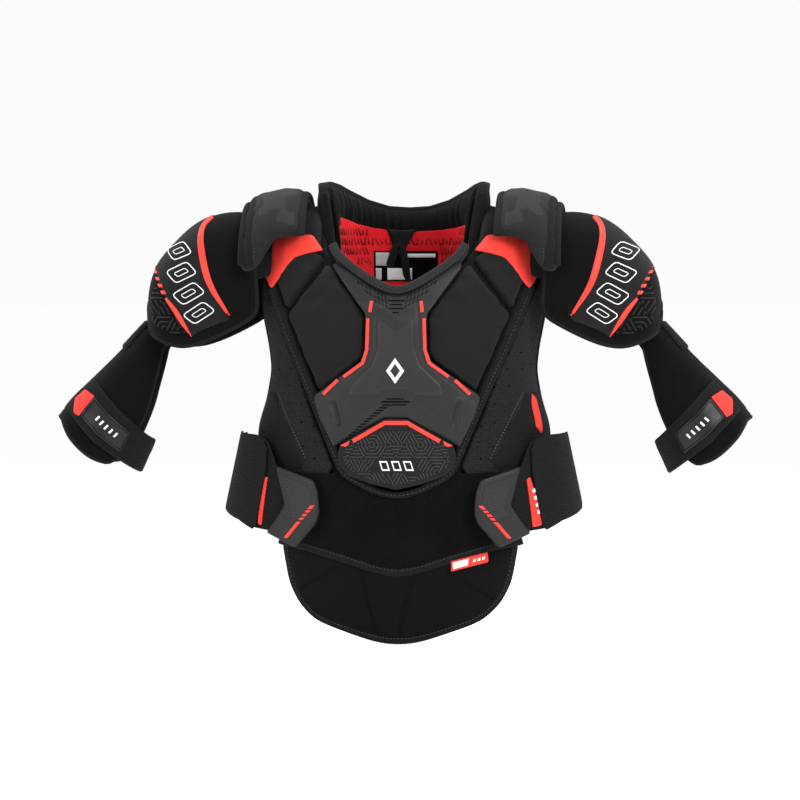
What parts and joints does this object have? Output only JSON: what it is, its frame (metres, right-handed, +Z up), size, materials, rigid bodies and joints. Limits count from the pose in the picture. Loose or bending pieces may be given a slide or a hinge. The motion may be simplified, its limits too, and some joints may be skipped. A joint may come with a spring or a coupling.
{
  "type": "ice hockey shoulder pads",
  "caption": "Padded ice hockey shoulder pads with a moulded sternum plate, hinged shoulder caps and floats, strapped bicep guards, waist straps and a swinging belly flap.",
  "frame": {"origin": "on the middle plane at the shoulder line, level with the lowest point of the belly flap at rest", "axes": "+Z up, -Y the way the wearer faces, +X the wearer's left"},
  "size_m": [0.8364, 0.2735, 0.551],
  "materials": {
    "black_mesh": "matt knitted mesh over foam",
    "black_fabric": "matt woven polyester over foam",
    "moulded_tpu": "matt moulded TPU, fine grain",
    "moulded_insert": "matt moulded plastic, raised lines",
    "red_trim": "matt red moulded trim",
    "binding": "woven edge tape, folded and stitched",
    "neck_tape": "grey knitted edge tape",
    "red_fabric": "red coated fabric",
    "charcoal_fabric": "matt brushed polyester, padded",
    "red_liner": "red brushed lining, embossed ribs",
    "elastic": "ribbed woven elastic",
    "label": "grey printed label",
    "loop_fabric": "brushed loop pile",
    "pe_insert": "moulded polyethylene",
    "eva_foam": "closed-cell foam",
    "patch_plastic": "smooth moulded plate"
  },
  "bodies": {
    "torso": {"front_liner": "black_mesh", "chest_base_pad": "black_fabric", "side_panel_right": "black_mesh", "side_panel_left": "black_mesh", "chest_block_right": "black_fabric", "chest_block_left": "black_fabric", "chest_center_pad": "black_fabric", "chest_wedge_right": "black_fabric", "chest_wedge_left": "black_fabric", "sternum_plate": "moulded_tpu", "sternum_insert": "moulded_insert", "sternum_lower_patch": "moulded_insert", "sternum_trims": "red_trim", "chest_binding": "binding", "neck_binding": "neck_tape", "red_patch_right": "red_fabric", "red_patch_left": "red_fabric", "yoke_pad_right": "black_fabric", "yoke_pad_left": "black_fabric", "collar": "black_fabric", "collar_liner": "black_mesh", "back_pad": "black_fabric", "back_liner": "red_liner", "spine_plate": "moulded_tpu", "spine_insert": "moulded_insert", "scapula_pad_right": "black_fabric", "scapula_pad_left": "black_fabric", "lumbar_pad": "black_mesh", "hanger_loop": "elastic", "size_label": "label", "belly_band": "loop_fabric", "belly_band_binding": "binding", "size_tag": "red_fabric", "side_tag": "red_fabric", "side_elastics": "elastic"},
    "shoulder_float_right": {"shoulder_float_right": "charcoal_fabric"},
    "cap_right": {"cap_cover_right": "charcoal_fabric", "cap_insert_right": "pe_insert", "cap_foam_right": "eva_foam"},
    "bicep_right": {"bicep_guard_right": "charcoal_fabric", "bicep_insert_right": "pe_insert", "bicep_link_right": "elastic"},
    "bicep_strap_right": {"bicep_strap_right": "elastic", "bicep_patch_right": "patch_plastic"},
    "waist_strap_right": {"waist_strap_right": "elastic", "strap_tab_right": "moulded_tpu", "strap_label_right": "red_fabric"},
    "shoulder_float_left": {"shoulder_float_left": "charcoal_fabric"},
    "cap_left": {"cap_cover_left": "charcoal_fabric", "cap_insert_left": "pe_insert", "cap_foam_left": "eva_foam"},
    "bicep_left": {"bicep_guard_left": "charcoal_fabric", "bicep_insert_left": "pe_insert", "bicep_link_left": "elastic"},
    "bicep_strap_left": {"bicep_strap_left": "elastic", "bicep_patch_left": "patch_plastic"},
    "waist_strap_left": {"waist_strap_left": "elastic", "strap_tab_left": "moulded_tpu", "strap_label_left": "red_fabric"},
    "belly_flap": {"belly_flap": "black_fabric"}
  },
  "joints": [
    {"name": "float_lift_right", "type": "hinge", "parent": "torso", "child": "shoulder_float_right", "pos_m": [-0.112, 0, 0.537], "axis": [0, 1, 0], "range_deg": [0, 15], "stiffness_Nm_per_rad": 0.2},
    {"name": "cap_lift_right", "type": "hinge", "parent": "torso", "child": "cap_right", "pos_m": [-0.19, 0, 0.507], "axis": [0, 1, 0], "range_deg": [0, 45]},
    {"name": "bicep_lift_right", "type": "hinge", "parent": "cap_right", "child": "bicep_right", "pos_m": [-0.29, 0, 0.372], "axis": [0, 1, 0], "range_deg": [-8, 20]},
    {"name": "bicep_strap_open_right", "type": "hinge", "parent": "bicep_right", "child": "bicep_strap_right", "pos_m": [-0.31379, 0, 0.22376], "axis": [0.5402, 0, 0.8415], "range_deg": [0, 100]},
    {"name": "waist_strap_open_right", "type": "hinge", "parent": "torso", "child": "waist_strap_right", "pos_m": [-0.1995, 0, 0.19], "axis": [0, 0, -1], "range_deg": [0, 90]},
    {"name": "float_lift_left", "type": "hinge", "parent": "torso", "child": "shoulder_float_left", "pos_m": [0.112, 0, 0.537], "axis": [0, -1, 0], "range_deg": [0, 15], "stiffness_Nm_per_rad": 0.2},
    {"name": "cap_lift_left", "type": "hinge", "parent": "torso", "child": "cap_left", "pos_m": [0.19, 0, 0.507], "axis": [0, -1, 0], "range_deg": [0, 45]},
    {"name": "bicep_lift_left", "type": "hinge", "parent": "cap_left", "child": "bicep_left", "pos_m": [0.29, 0, 0.372], "axis": [0, -1, 0], "range_deg": [-8, 20]},
    {"name": "bicep_strap_open_left", "type": "hinge", "parent": "bicep_left", "child": "bicep_strap_left", "pos_m": [0.31379, 0, 0.22376], "axis": [0.5402, 0, -0.8415], "range_deg": [0, 100]},
    {"name": "waist_strap_open_left", "type": "hinge", "parent": "torso", "child": "waist_strap_left", "pos_m": [0.1995, 0, 0.19], "axis": [0, 0, 1], "range_deg": [0, 90]},
    {"name": "belly_flap_swing", "type": "hinge", "parent": "torso", "child": "belly_flap", "pos_m": [0, -0.1205, 0.079], "axis": [-1, 0, 0], "range_deg": [0, 35], "stiffness_Nm_per_rad": 0.3}
  ]
}
